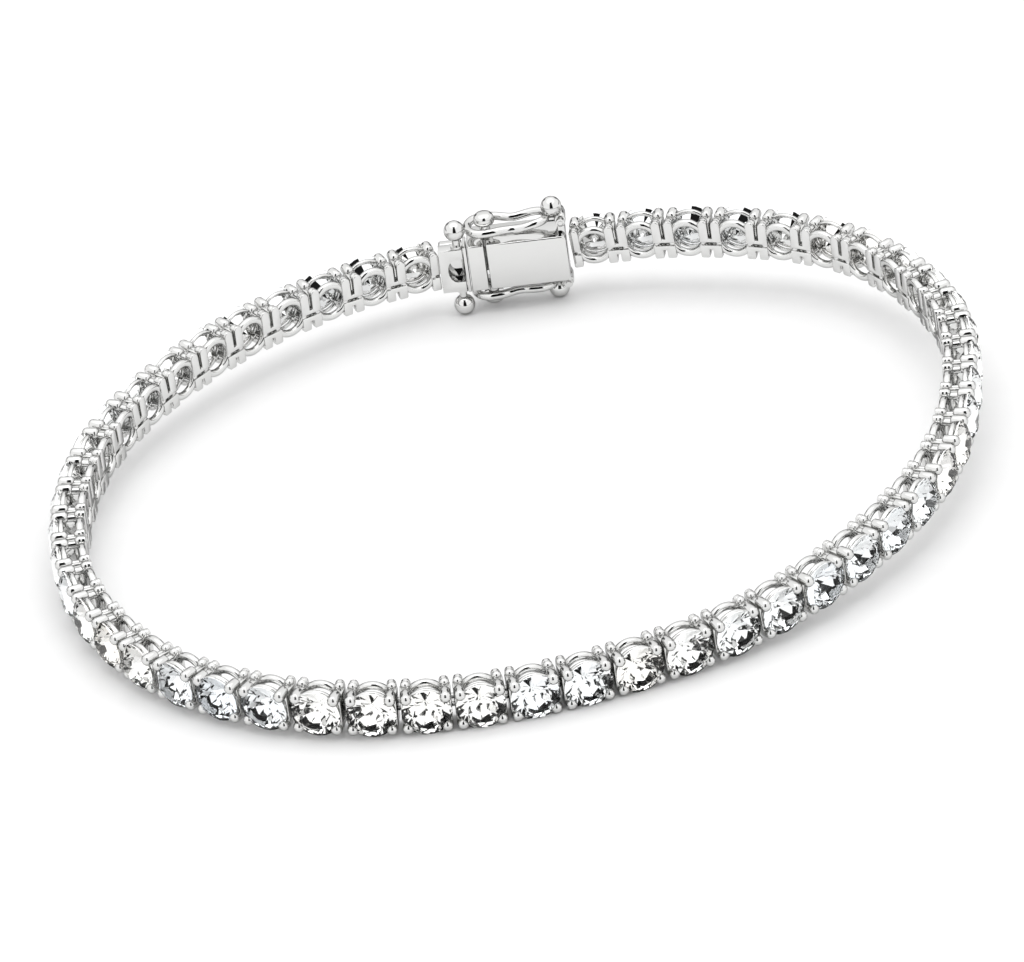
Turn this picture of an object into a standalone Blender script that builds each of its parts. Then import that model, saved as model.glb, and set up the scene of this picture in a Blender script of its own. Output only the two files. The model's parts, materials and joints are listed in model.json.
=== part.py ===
"""A tennis bracelet: round stones in four-prong links, with a box clasp and two safety latches.

Metres, +Z up. The loop stands on its edge, with the clasp at the back (+Y).
"""

import math

import bmesh
import bpy
from mathutils import Matrix, Vector

MM = 0.001

# The string
LINKS = 51
RIGHT_LINKS = 26
PITCH = 3.32 * MM
CLASP_CHORD = 9.15 * MM
LOOP_START_DEG = 78.07
# The hinge line's distances from the loop's middle, every 20 degrees from +X towards +Y, and its rises.
LOOP_SHAPE = [28.87, 30.94, 31.24, 28.73, 27.30, 26.70, 26.49, 26.93, 28.34]
LOOP_SHAPE += [29.19, 30.06, 30.35, 29.40, 27.10, 25.69, 25.68, 26.48, 27.66]
LOOP_RISE = [0.45, 0.19, 0.34, 0.51, -0.03, 0.02, 0.31, 0.45, 0.11]
LOOP_RISE += [0.02, 0.16, 0.16, 0.23, -0.22, -0.30, -0.14, 0.43, 0.63]

# One link: x along the string, y outward, z up
STONE_RADIUS = 1.55 * MM
STONE_SIDES = 8
TABLE_RADIUS = 0.86 * MM
TABLE_Y = 1.54 * MM
GIRDLE_Y = 1.08 * MM
CULET_Y = -0.25 * MM
PRONG_X = 1.22 * MM
PRONG_WIDTH = 0.66 * MM
PRONG_TOP = 1.42 * MM
PRONG_DEPTH = 0.60 * MM
PRONG_FRONT = 1.46 * MM
PLATE_BACK = -0.75 * MM
PLATE_DEPTH = 0.34 * MM
PLATE_CHAMFER = 0.30 * MM
PRONG_TAPER = 0.40 * MM
RAIL_Y = -0.58 * MM
RAIL_RADIUS = 1.10 * MM
RAIL_WIDTH = 0.40 * MM
RAIL_DEPTH = 0.30 * MM
JOIN_LENGTH = 1.20 * MM
JOIN_LOW = -0.70 * MM
JOIN_HIGH = 0.04 * MM
JOIN_DEPTH = 0.22 * MM
FACE_STEP = 0.05 * MM

# The clasp: x along it towards the first link, y outward, z up, from a point on the hinge line
CLASP_TURN_DEG = -5.2
CLASP_FROM_FIRST_LINK = 4.60 * MM
CLASP_BACK = -1.475 * MM
CLASP_FRONT = 1.40 * MM
END_GAP = 0.17 * MM
END_LEFT = CLASP_FROM_FIRST_LINK - CLASP_CHORD + END_GAP
END_RIGHT = -2.71 * MM
END_FRONT = 0.10 * MM
END_HALF_HEIGHT = 1.65 * MM
END_SLOT_LEFT = -3.85 * MM
END_SLOT_HALF_HEIGHT = 0.72 * MM
END_SLOT_DEPTH = 0.95 * MM
END_SLOT_ROUND = 0.30 * MM
FLANGE_LEFT = -2.76 * MM
FLANGE_RIGHT = -2.42 * MM
FLANGE_HALF_HEIGHT = 1.95 * MM
NECK_LEFT = -2.48 * MM
NECK_RIGHT = -1.25 * MM
BODY_HALF_HEIGHT = 1.75 * MM
SEAM = 0.17 * MM
NOTCH_RIGHT = -0.58 * MM
NOTCH_HALF_WIDTH = 0.45 * MM
BOX_LEFT = NECK_RIGHT + SEAM
BOX_RIGHT = 4.40 * MM
BOX_WALL = 0.45 * MM
BOX_END_WALL = 0.80 * MM
EDGE_ROUND = 0.22 * MM
TONGUE_GAP = 0.30 * MM
TONGUE_LEAF = 0.35 * MM
TONGUE_END = 2.90 * MM
SUNK = 0.30 * MM

BALL_RADIUS = 0.72 * MM
BALL_SIDES = 10
STEM_SIDES = 8
BALL_X = -3.08 * MM
BALL_Y = -1.00 * MM
BALL_RISE = 1.26 * MM
STEM_RADIUS = 0.26 * MM

KNOB_X = -1.03 * MM
KNOB_Y = 0.0
KNOB_RADIUS = 0.70 * MM
KNOB_STEM_RADIUS = 0.30 * MM
KNOB_FOOT = 0.92 * MM
KNOB_RIM = 1.50 * MM
KNOB_TOP = 1.75 * MM
KNOB_CHAMFER = 0.08 * MM
KNOB_CROWN_SHARE = 0.62

# The latches: rises are above or below the box, in millimetres as the wire's widths are
WIRE_RADIUS = 0.29 * MM
WIRE_HALF_WIDTHS = [
    (-2.25, 0.0),
    (-2.13, 0.55),
    (-1.80, 0.98),
    (-1.20, 1.20),
    (-0.45, 1.13),
    (0.25, 0.95),
    (0.90, 0.85),
    (1.70, 0.93),
    (2.40, 0.88),
    (2.98, 0.60),
    (3.22, 0.0),
]
WIRE_RISES = [(-2.25, "knob"), (-0.30, "knob"), (0.90, "waist"), (3.00, "end")]
WIRE_POINTS = 30
STEPS_BETWEEN_WIDTHS = 12
HINGE_X = 4.16 * MM
PIN_RADIUS = 0.16 * MM
BARREL_BORE = 0.22 * MM
BARREL_RADIUS = 0.38 * MM
BARREL_HALF_LENGTH = 0.62 * MM
LUG_GAP = 0.10 * MM
LUG_WIDTH = 0.28 * MM
LUG_RADIUS = 0.30 * MM
LUG_FOOT_SHARE = 0.8
HINGE_SIDES = 12
ARM_LEFT = 2.95 * MM
ARM_HALF_WIDTH = 0.36 * MM
ARM_HALF_HEIGHT = 0.20 * MM
LATCHES = {
    "top": {
        "side": 1,
        "knob": 0.75,
        "waist": 0.66,
        "end": 0.95,
        "hinge": 0.80,
        "ball": 1.62,
        "finger": 3.64,
    },
    "bottom": {
        "side": -1,
        "knob": 0.68,
        "waist": 0.60,
        "end": 0.66,
        "hinge": 0.52,
        "ball": 1.26,
        "finger": 3.46,
    },
}

# How the whole loop leans when it rests on its edge
LEAN_DEG = 2.17
LEAN_TOWARDS_DEG = -107.5

# Colour, metallic value and roughness
POLISHED_GOLD = ((0.74, 0.74, 0.73, 1.0), 1.0, 0.08)
SET_STONES = ((0.88, 0.89, 0.91, 1.0), 0.6, 0.05)


def clear_scene():
    for old in list(bpy.data.objects):
        bpy.data.objects.remove(old, do_unlink=True)


def new_collection(name):
    collection = bpy.data.collections.new(name)
    bpy.context.scene.collection.children.link(collection)
    return collection


def new_material(name, look):
    color, metallic, roughness = look
    material = bpy.data.materials.new(name)
    material.use_nodes = True
    shader = material.node_tree.nodes["Principled BSDF"]
    shader.inputs["Base Color"].default_value = color
    shader.inputs["Metallic"].default_value = metallic
    shader.inputs["Roughness"].default_value = roughness
    material.diffuse_color = color
    return material


def add_object(name, mesh, collection, look):
    """A named object with a material of its own."""
    made = bpy.data.objects.new(name, mesh)
    collection.objects.link(made)
    mesh.materials.clear()
    mesh.materials.append(new_material(f"{name} finish", look))
    return made


def as_mesh(name, shape):
    bmesh.ops.remove_doubles(shape, verts=shape.verts, dist=1e-7)
    bmesh.ops.recalc_face_normals(shape, faces=shape.faces)
    mesh = bpy.data.meshes.new(name)
    shape.to_mesh(mesh)
    shape.free()
    return mesh


def box_mesh(name, low, high, bevel=0.0, edges_along=None):
    """A box between two corners, with all edges or only those along one axis chamfered."""
    low = Vector(low)
    high = Vector(high)
    shape = bmesh.new()
    size = Matrix.Diagonal((*(high - low), 1.0))
    bmesh.ops.create_cube(shape, size=1.0, matrix=Matrix.Translation((low + high) / 2) @ size)
    if bevel:
        edges = list(shape.edges)
        if edges_along is not None:
            edges = [e for e in edges if abs((e.verts[0].co - e.verts[1].co)[edges_along]) > 1e-7]
        bmesh.ops.bevel(
            shape, geom=edges, offset=bevel, segments=1, profile=0.5, affect="EDGES", material=-1
        )
    return as_mesh(name, shape)


def turned_mesh(name, profile, sides, axis, centre=(0, 0, 0)):
    """A solid turned from (radius, place along the axis) points; an open profile ends on the axis."""
    axis = Vector(axis)
    across = axis.orthogonal().normalized()
    across = Matrix.Rotation(math.pi / sides, 4, axis) @ across
    shape = bmesh.new()
    points = [shape.verts.new(Vector(centre) + across * r + axis * h) for r, h in profile]
    if profile[0][0] > 0:
        points.append(points[0])
    edges = [shape.edges.new(pair) for pair in zip(points, points[1:])]
    bmesh.ops.spin(
        shape,
        geom=list(shape.verts) + edges,
        cent=centre,
        axis=axis,
        angle=math.tau,
        steps=sides,
        use_merge=True,
    )
    return as_mesh(name, shape)


def ball_profile(radius, rings=6):
    return [
        (radius * math.sin(math.pi * i / rings), -radius * math.cos(math.pi * i / rings))
        for i in range(rings + 1)
    ]


def outline_mesh(name, outline, low, high):
    """A (y, z) outline pushed along x from low to high."""
    shape = bmesh.new()
    face = shape.faces.new([shape.verts.new((low, y, z)) for y, z in outline])
    pushed = bmesh.ops.extrude_face_region(shape, geom=[face])
    moved = [v for v in pushed["geom"] if isinstance(v, bmesh.types.BMVert)]
    bmesh.ops.translate(shape, verts=moved, vec=(high - low, 0, 0))
    return as_mesh(name, shape)


def combine(name, first, others, operation="UNION"):
    """The exact Boolean of one mesh with others, as a new mesh."""
    base = bpy.data.objects.new(name, first)
    bpy.context.scene.collection.objects.link(base)
    tools = []
    for index, mesh in enumerate(others):
        tool = bpy.data.objects.new(f"{name} tool {index}", mesh)
        bpy.context.scene.collection.objects.link(tool)
        tools.append(tool)
        modifier = base.modifiers.new(f"{operation} {index}", "BOOLEAN")
        modifier.solver = "EXACT"
        modifier.operation = operation
        modifier.object = tool
    graph = bpy.context.evaluated_depsgraph_get()
    result = bpy.data.meshes.new_from_object(base.evaluated_get(graph))
    result.name = name
    for used in [base, *tools]:
        bpy.data.objects.remove(used, do_unlink=True)
    return result


def joined(name, placed):
    """Copies of meshes under their matrices, as one mesh of separate shells."""
    shape = bmesh.new()
    for mesh, matrix in placed:
        copy = mesh.copy()
        copy.transform(matrix)
        shape.from_mesh(copy)
        bpy.data.meshes.remove(copy)
    mesh = bpy.data.meshes.new(name)
    shape.to_mesh(mesh)
    shape.free()
    return mesh


# The loop


def loop_value(values, degrees):
    """A listed value at an angle, by a smooth closed curve through the list."""
    count = len(values)
    place = (degrees % 360) * count / 360
    index = int(place)
    return between([values[(index + i) % count] for i in (-1, 0, 1, 2)], place - index)


def between(four, t):
    """The smooth curve through four values or points, a share t of the way from the second to the third."""
    a, b, c, d = four
    bend = (a - 2.5 * b + 2 * c - d / 2) * t**2
    return b + (c - a) * t / 2 + bend + (1.5 * (b - c) + (d - a) / 2) * t**3


def loop_point(degrees, scale):
    angle = math.radians(degrees)
    distance = loop_value(LOOP_SHAPE, degrees) * scale
    rise = loop_value(LOOP_RISE, degrees)
    return Vector((math.cos(angle) * distance, math.sin(angle) * distance, rise)) * MM


def hinge_points(scale):
    """The joins between links, clockwise from the clasp's right end, one pitch apart."""
    angle = LOOP_START_DEG
    points = [loop_point(angle, scale)]
    for _ in range(LINKS):
        near, far = angle, angle - 15
        for _ in range(40):
            middle = (near + far) / 2
            if (loop_point(middle, scale) - points[-1]).length < PITCH:
                near = middle
            else:
                far = middle
        angle = (near + far) / 2
        points.append(loop_point(angle, scale))
    return points


def closed_loop():
    """The hinge points at the scale where the clasp just closes the loop."""
    small, large = 0.9, 1.1
    for _ in range(40):
        scale = (small + large) / 2
        points = hinge_points(scale)
        turned = points[0].cross(points[-1]).z > 0
        gap = (points[0] - points[-1]).length * (1 if turned else -1)
        if gap < CLASP_CHORD:
            small = scale
        else:
            large = scale
    return points


def frame_between(start, end, origin):
    """Axes with x from start to end and y level and outward, at the origin."""
    along = (end - start).normalized()
    outward = Vector((-along.y, along.x, 0)).normalized()
    turn = Matrix((along, outward, along.cross(outward))).transposed().to_4x4()
    return Matrix.Translation(origin) @ turn


# One link


def stone_mesh():
    profile = [(0, CULET_Y), (STONE_RADIUS, GIRDLE_Y), (TABLE_RADIUS, TABLE_Y), (0, TABLE_Y)]
    return turned_mesh("stone", profile, STONE_SIDES, (0, 1, 0))


def prong_pair_mesh(x):
    """Upper and lower prong with the plate that joins them behind, as one staple."""
    low = PRONG_TOP - PRONG_DEPTH
    half = [
        (PRONG_FRONT, low),
        (PRONG_FRONT - PRONG_TAPER, PRONG_TOP),
        (PLATE_BACK + PLATE_CHAMFER, PRONG_TOP),
        (PLATE_BACK, PRONG_TOP - PLATE_CHAMFER),
    ]
    inner = PLATE_BACK + PLATE_DEPTH
    outline = [(inner, low)] + half
    outline += [(y, -z) for y, z in reversed(outline)]
    return outline_mesh("staple", outline, x - PRONG_WIDTH / 2, x + PRONG_WIDTH / 2)


def rail_mesh():
    inner = RAIL_RADIUS - RAIL_WIDTH / 2
    outer = RAIL_RADIUS + RAIL_WIDTH / 2
    profile = [(inner, RAIL_Y), (outer, RAIL_Y - RAIL_DEPTH / 2), (outer, RAIL_Y + RAIL_DEPTH / 2)]
    return turned_mesh("rail", profile, STONE_SIDES, (0, 1, 0))


def link_mesh():
    staples = [prong_pair_mesh(-PRONG_X), prong_pair_mesh(PRONG_X)]
    return combine("link", stone_mesh(), [*staples, rail_mesh()])


def join_mesh():
    back = PLATE_BACK + FACE_STEP
    low = (-JOIN_LENGTH / 2, back, JOIN_LOW)
    high = (JOIN_LENGTH / 2, back + JOIN_DEPTH, JOIN_HIGH)
    return box_mesh("join", low, high)


def string_mesh(name, points, link, join):
    """Links between consecutive points, with a join at each point between two of them."""
    links = [
        (link, frame_between(a, b, (a + b) / 2)) for a, b in zip(points, points[1:])
    ]
    joins = [
        (join, frame_between(a, c, b)) for a, b, c in zip(points, points[1:], points[2:])
    ]
    return combine(name, joined(name, links), [joined("joins", joins)])


# The clasp


def ball_mesh(name, centre, radius=BALL_RADIUS):
    return turned_mesh(name, ball_profile(radius), BALL_SIDES, (0, 0, 1), centre)


def post_mesh(name, x, y, radius, low, high):
    low, high = min(low, high), max(low, high)
    profile = [(0, low), (radius, low), (radius, high), (0, high)]
    return turned_mesh(name, profile, STEM_SIDES, (0, 0, 1), (x, y, 0))


def knob_mesh(side):
    """A catch knob on a stem that rises from the tongue's root, through the notch in the box's mouth."""
    base = BODY_HALF_HEIGHT
    root = tongue_height() - TONGUE_LEAF
    profile = [
        (0, root),
        (KNOB_STEM_RADIUS, root),
        (KNOB_STEM_RADIUS, base + KNOB_FOOT),
        (KNOB_RADIUS, base + KNOB_FOOT + KNOB_CHAMFER),
        (KNOB_RADIUS, base + KNOB_RIM),
        (KNOB_RADIUS * KNOB_CROWN_SHARE, base + KNOB_TOP - KNOB_CHAMFER),
        (0, base + KNOB_TOP),
    ]
    profile = [(r, h * side) for r, h in profile]
    return turned_mesh("knob", profile, BALL_SIDES, (0, 0, 1), (KNOB_X, KNOB_Y, 0))


def clasp_end_mesh():
    """The end block, flange, middle block and tongue, with both knobs and both release balls."""
    end = box_mesh(
        "end block",
        (END_LEFT, CLASP_BACK, -END_HALF_HEIGHT),
        (END_RIGHT, END_FRONT, END_HALF_HEIGHT),
        EDGE_ROUND,
        edges_along=1,
    )
    slot = box_mesh(
        "slot",
        (END_SLOT_LEFT, CLASP_BACK - END_SLOT_DEPTH, -END_SLOT_HALF_HEIGHT),
        (FLANGE_LEFT - FACE_STEP, CLASP_BACK + END_SLOT_DEPTH, END_SLOT_HALF_HEIGHT),
        END_SLOT_ROUND,
        edges_along=1,
    )
    end = combine("end block", end, [slot], "DIFFERENCE")
    flange = box_mesh(
        "flange",
        (FLANGE_LEFT, CLASP_BACK + FACE_STEP, -FLANGE_HALF_HEIGHT),
        (FLANGE_RIGHT, END_FRONT + FACE_STEP, FLANGE_HALF_HEIGHT),
    )
    neck = box_mesh(
        "neck",
        (NECK_LEFT, CLASP_BACK, -BODY_HALF_HEIGHT),
        (NECK_RIGHT, CLASP_FRONT, BODY_HALF_HEIGHT),
        EDGE_ROUND / 2,
        edges_along=0,
    )
    tongue = tongue_mesh()
    parts = [flange, neck, tongue]
    for side in (1, -1):
        top = side * END_HALF_HEIGHT
        foot = side * (END_HALF_HEIGHT - SUNK)
        parts.append(post_mesh("stem", BALL_X, BALL_Y, STEM_RADIUS, foot, top + side * BALL_RISE))
        parts.append(ball_mesh("ball", (BALL_X, BALL_Y, top + side * BALL_RISE)))
        parts.append(knob_mesh(side))
    return combine("clasp_end", end, parts)


def tongue_height():
    return BODY_HALF_HEIGHT - BOX_WALL - TONGUE_GAP


def tongue_mesh():
    """A folded spring: two leaves that meet at the tip, inside the box with room all round."""
    high = tongue_height()
    start = NECK_RIGHT - SUNK
    leaf = TONGUE_LEAF
    tip = TONGUE_END
    outline = [
        (start, high),
        (tip - leaf, leaf),
        (tip, 0),
        (tip - leaf, -leaf),
        (start, -high),
        (start, -high + leaf),
        (tip - 2.5 * leaf, 0),
        (start, high - leaf),
    ]
    low = CLASP_BACK + BOX_WALL + TONGUE_GAP
    top = CLASP_FRONT - BOX_WALL - TONGUE_GAP
    mesh = outline_mesh("tongue", outline, low, top)
    # The outline was pushed along x: turn it so that it runs along the clasp.
    mesh.transform(Matrix(((0, 1, 0, 0), (1, 0, 0, 0), (0, 0, 1, 0), (0, 0, 0, 1))))
    mesh.flip_normals()
    return mesh


def hinge_z(latch):
    return latch["side"] * (BODY_HALF_HEIGHT + latch["hinge"] * MM)


def lug_meshes(latch):
    """Two lugs and the pin of one latch's hinge, standing on the box's end."""
    z = hinge_z(latch)
    foot = latch["side"] * (BODY_HALF_HEIGHT - SUNK)
    near = BARREL_HALF_LENGTH + LUG_GAP
    far = near + LUG_WIDTH
    meshes = []
    for side in (1, -1):
        low_y, high_y = sorted((side * near, side * far))
        low_z, high_z = sorted((foot, z))
        half = LUG_RADIUS * LUG_FOOT_SHARE
        low, high = (HINGE_X - half, low_y, low_z), (HINGE_X + half, high_y, high_z)
        meshes.append(box_mesh("lug", low, high))
        profile = [(0, low_y), (LUG_RADIUS, low_y), (LUG_RADIUS, high_y), (0, high_y)]
        meshes.append(turned_mesh("lug end", profile, HINGE_SIDES, (0, 1, 0), (HINGE_X, 0, z)))
    reach = far - LUG_WIDTH / 2
    profile = [(0, -reach), (PIN_RADIUS, -reach), (PIN_RADIUS, reach), (0, reach)]
    meshes.append(turned_mesh("pin", profile, HINGE_SIDES, (0, 1, 0), (HINGE_X, 0, z)))
    return meshes


def clasp_box_mesh():
    body = box_mesh(
        "box",
        (BOX_LEFT, CLASP_BACK, -BODY_HALF_HEIGHT),
        (BOX_RIGHT, CLASP_FRONT, BODY_HALF_HEIGHT),
        EDGE_ROUND,
        edges_along=1,
    )
    wall = Vector((0, BOX_WALL, BOX_WALL))
    hollow = box_mesh(
        "hollow",
        Vector((NECK_LEFT, CLASP_BACK, -BODY_HALF_HEIGHT)) + wall,
        Vector((BOX_RIGHT - BOX_END_WALL, CLASP_FRONT, BODY_HALF_HEIGHT)) - wall,
    )
    notch = box_mesh(
        "notch",
        (NECK_LEFT, -NOTCH_HALF_WIDTH, -FLANGE_HALF_HEIGHT),
        (NOTCH_RIGHT, NOTCH_HALF_WIDTH, FLANGE_HALF_HEIGHT),
    )
    body = combine("box", body, [hollow, notch], "DIFFERENCE")
    lugs = [mesh for latch in LATCHES.values() for mesh in lug_meshes(latch)]
    return combine("clasp_box", body, lugs)


def smooth_between(points, x):
    """The value at x on level-ended ramps between listed (x, value) points."""
    for (x0, v0), (x1, v1) in zip(points, points[1:]):
        if x <= x1:
            t = min(max((x - x0) / (x1 - x0), 0), 1)
            return v0 + (v1 - v0) * t * t * (3 - 2 * t)
    return points[-1][1]


def wire_path(latch):
    """The figure-8 wire's centreline as a closed list of points, evenly spaced."""
    half = [Vector((x, w, 0)) for x, w in WIRE_HALF_WIDTHS]
    whole = half + [Vector((p.x, -p.y, 0)) for p in reversed(half[1:-1])]
    count = len(whole)
    fine = []
    for i in range(count):
        a, b, c, d = (whole[(i + k) % count] for k in (-1, 0, 1, 2))
        for step in range(STEPS_BETWEEN_WIDTHS):
            fine.append(between((a, b, c, d), step / STEPS_BETWEEN_WIDTHS))
    lengths = [0.0]
    for a, b in zip(fine, fine[1:] + fine[:1]):
        lengths.append(lengths[-1] + (b - a).length)
    rises = [(x, latch[place]) for x, place in WIRE_RISES]
    path = []
    for k in range(WIRE_POINTS):
        target = lengths[-1] * k / WIRE_POINTS
        index = next(i for i, length in enumerate(lengths[1:]) if length >= target)
        share = (target - lengths[index]) / (lengths[index + 1] - lengths[index])
        point = fine[index].lerp(fine[(index + 1) % len(fine)], share)
        z = latch["side"] * (BODY_HALF_HEIGHT / MM + smooth_between(rises, point.x))
        path.append(Vector((point.x, point.y, z)) * MM)
    return path


def wire_mesh(latch):
    curve = bpy.data.curves.new("wire", "CURVE")
    curve.dimensions = "3D"
    curve.bevel_depth = WIRE_RADIUS
    curve.bevel_resolution = 1
    spline = curve.splines.new("POLY")
    path = wire_path(latch)
    spline.points.add(len(path) - 1)
    for point, place in zip(spline.points, path):
        point.co = (*place, 1)
    spline.use_cyclic_u = True
    holder = bpy.data.objects.new("wire", curve)
    bpy.context.scene.collection.objects.link(holder)
    graph = bpy.context.evaluated_depsgraph_get()
    mesh = bpy.data.meshes.new_from_object(holder.evaluated_get(graph))
    bpy.data.objects.remove(holder, do_unlink=True)
    shape = bmesh.new()
    shape.from_mesh(mesh)
    return as_mesh("wire", shape)


def latch_mesh(name, latch):
    """The wire loop with its barrel, the neck between them and the finger ball on the neck."""
    side = latch["side"]
    z = hinge_z(latch)
    profile = [
        (BARREL_BORE, -BARREL_HALF_LENGTH),
        (BARREL_RADIUS, -BARREL_HALF_LENGTH),
        (BARREL_RADIUS, BARREL_HALF_LENGTH),
        (BARREL_BORE, BARREL_HALF_LENGTH),
    ]
    barrel = turned_mesh("barrel", profile, HINGE_SIDES, (0, 1, 0), (HINGE_X, 0, z))
    neck = box_mesh(
        "neck",
        (ARM_LEFT, -ARM_HALF_WIDTH, z - ARM_HALF_HEIGHT),
        (HINGE_X - BARREL_BORE - FACE_STEP, ARM_HALF_WIDTH, z + ARM_HALF_HEIGHT),
    )
    ball_z = side * (BODY_HALF_HEIGHT + latch["ball"] * MM)
    finger_x = latch["finger"] * MM
    stem = post_mesh("stem", finger_x, 0, STEM_RADIUS, z, ball_z)
    ball = ball_mesh("finger ball", (finger_x, 0, ball_z))
    return combine(name, wire_mesh(latch), [neck, barrel, stem, ball])


# The whole


def rest(parts):
    """Leans the whole loop onto its edge and puts the middle of its base at the origin."""
    towards = math.radians(LEAN_TOWARDS_DEG)
    axis = Vector((-math.sin(towards), math.cos(towards), 0))
    lean = Matrix.Rotation(math.radians(LEAN_DEG), 4, axis)
    corners = [lean @ part.matrix_world @ v.co for part in parts for v in part.data.vertices]
    low = Vector([min(c[i] for c in corners) for i in range(3)])
    high = Vector([max(c[i] for c in corners) for i in range(3)])
    middle = (low + high) / 2
    move = Matrix.Translation((-middle.x, -middle.y, -low.z)) @ lean
    for part in parts:
        placed = move @ part.matrix_world
        hinge = part.get("hinge")
        if hinge is None:
            part.data.transform(placed)
            part.matrix_world = Matrix.Identity(4)
            continue
        pivot = placed @ Vector(hinge)
        part.data.transform(Matrix.Translation(-pivot) @ placed)
        part.matrix_world = Matrix.Translation(pivot)


def main():
    clear_scene()
    bracelet = new_collection("Tennis bracelet")
    points = closed_loop()

    link = link_mesh()
    join = join_mesh()
    right = string_mesh("string_right", points[: RIGHT_LINKS + 1], link, join)
    left = string_mesh("string_left", points[RIGHT_LINKS:], link, join)

    chord = (points[0] - points[-1]).normalized()
    origin = points[0] - chord * CLASP_FROM_FIRST_LINK
    clasp = frame_between(points[-1], points[0], origin)
    clasp = clasp @ Matrix.Rotation(math.radians(CLASP_TURN_DEG), 4, "Z")

    parts = [
        add_object("string_right", right, bracelet, SET_STONES),
        add_object("string_left", left, bracelet, SET_STONES),
        add_object("clasp_end", clasp_end_mesh(), bracelet, POLISHED_GOLD),
        add_object("clasp_box", clasp_box_mesh(), bracelet, POLISHED_GOLD),
    ]
    for part in parts[2:]:
        part.data.transform(clasp)
    for which, latch in LATCHES.items():
        part = add_object(f"latch_{which}", latch_mesh(f"latch_{which}", latch), bracelet, POLISHED_GOLD)
        part.data.transform(clasp)
        part["hinge"] = clasp @ Vector((HINGE_X, 0, hinge_z(latch)))
        parts.append(part)
    bpy.context.view_layer.update()
    rest(parts)


main()
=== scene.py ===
"""Tennis bracelet: stones, settings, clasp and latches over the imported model, with their studio."""

import json
import math

import bmesh
import bpy
from bpy.props import FloatProperty, FloatVectorProperty, IntProperty, PointerProperty
from mathutils import Matrix, Vector


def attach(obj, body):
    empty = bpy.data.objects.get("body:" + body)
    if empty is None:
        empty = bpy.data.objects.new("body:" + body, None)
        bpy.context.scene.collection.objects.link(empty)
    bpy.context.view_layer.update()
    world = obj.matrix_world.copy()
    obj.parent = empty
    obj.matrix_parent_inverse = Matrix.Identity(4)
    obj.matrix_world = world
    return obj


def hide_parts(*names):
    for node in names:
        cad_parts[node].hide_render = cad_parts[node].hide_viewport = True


bl_info = {
    "name": "Tennis Bracelet",
    "version": (1, 0, 0),
    "blender": (4, 5, 0),
    "location": "View3D > Sidebar > Bracelet",
    "description": "Builds the stones, settings, clasp and latches of a tennis bracelet over its model",
    "category": "Add Mesh",
}

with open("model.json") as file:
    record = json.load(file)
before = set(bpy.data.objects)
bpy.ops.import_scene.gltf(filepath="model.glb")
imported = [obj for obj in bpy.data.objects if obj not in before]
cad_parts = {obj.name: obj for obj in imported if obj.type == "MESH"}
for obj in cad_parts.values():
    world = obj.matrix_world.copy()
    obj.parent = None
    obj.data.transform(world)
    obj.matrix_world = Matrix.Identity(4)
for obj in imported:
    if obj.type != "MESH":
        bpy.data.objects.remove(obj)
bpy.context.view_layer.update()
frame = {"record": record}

MM = 0.001
JOINTS = {joint["name"]: joint for joint in frame["record"]["behaviour"]["joints"]}

# The loop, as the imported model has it
LINKS = 51
RIGHT_LINKS = 26
PITCH = 3.32
CLASP_CHORD = 9.15
LOOP_START_DEG = 78.07
LOOP_SHAPE = [28.87, 30.94, 31.24, 28.73, 27.30, 26.70, 26.49, 26.93, 28.34]
LOOP_SHAPE += [29.19, 30.06, 30.35, 29.40, 27.10, 25.69, 25.68, 26.48, 27.66]
LOOP_RISE = [0.45, 0.19, 0.34, 0.51, -0.03, 0.02, 0.31, 0.45, 0.11]
LOOP_RISE += [0.02, 0.16, 0.16, 0.23, -0.22, -0.30, -0.14, 0.43, 0.63]
CLASP_TURN_DEG = -5.2
CLASP_FROM_FIRST_LINK = 4.60
LEAN_DEG = 2.17
LEAN_TOWARDS_DEG = -107.5

# A link's sizes, in millimetres: x along the string, y outward from the hinge line, z up
LINK_TOP = 1.42
CLAW_START, CLAW_SHOULDER, CLAW_END_ROUND, CLAW_DOME = 0.26, 1.12, 0.20, 0.32
CLAW_STEM_RADIUS = 0.24
BLOCK_BACK, BLOCK_FRONT, BLOCK_FOOT, BLOCK_ROUND = -0.80, -0.12, 0.70, 0.28
WALL_BACK, WALL_FRONT, WALL_HALF_HEIGHT, WALL_ROUND = -0.50, 0.88, 1.12, 0.06
PLATE_BACK, PLATE_DEPTH, PLATE_SLIT_Z = -0.88, 0.34, -0.33
UPPER_FLOOR, LOWER_ROOF = 0.05, -0.78
TAB_TOP_ROUND = 0.30
TAB_FOOT_ROUND = 0.13
# Each rail's (middle radius, width, depth, place along y)
SEAT_RAIL = (1.40, 0.23, 0.30, 0.70)
BACK_RAIL = (1.17, 0.50, 0.52, -0.50)

# The clasp's packed sizes, in millimetres: x towards the first link, y outward, z up
CLASP_BACK = -1.475
CLASP_FRONT = 1.40
END_LEFT, END_FRONT, END_HALF, END_DEPTH = -4.38, 0.10, 1.65, 0.95
SLOT_LEFT, SLOT_HALF, SLOT_REACH = -3.84, 0.86, 0.55
FLANGE_LEFT, FLANGE_RIGHT = -2.76, -2.42
NECK_LEFT, NECK_RIGHT = -2.48, -1.25
BOX_LEFT, BOX_RIGHT, BOX_CORNER, BODY_HALF = -1.08, 4.40, 0.25, 1.75
BALL_X, BALL_Y, BALL_RISE, BALL_RADIUS = -3.08, -1.00, 1.26, 0.72
BALL_STEM_RADIUS = 0.26
KNOB_X = -1.03
HINGE_X = 4.16
LUG_HALF_WIDTH, LUG_INNER, LUG_OUTER = 0.24, 0.72, 1.00
PIN_RADIUS, PIN_HALF_LENGTH = 0.16, 1.03
WIRE_RADIUS = 0.29
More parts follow.
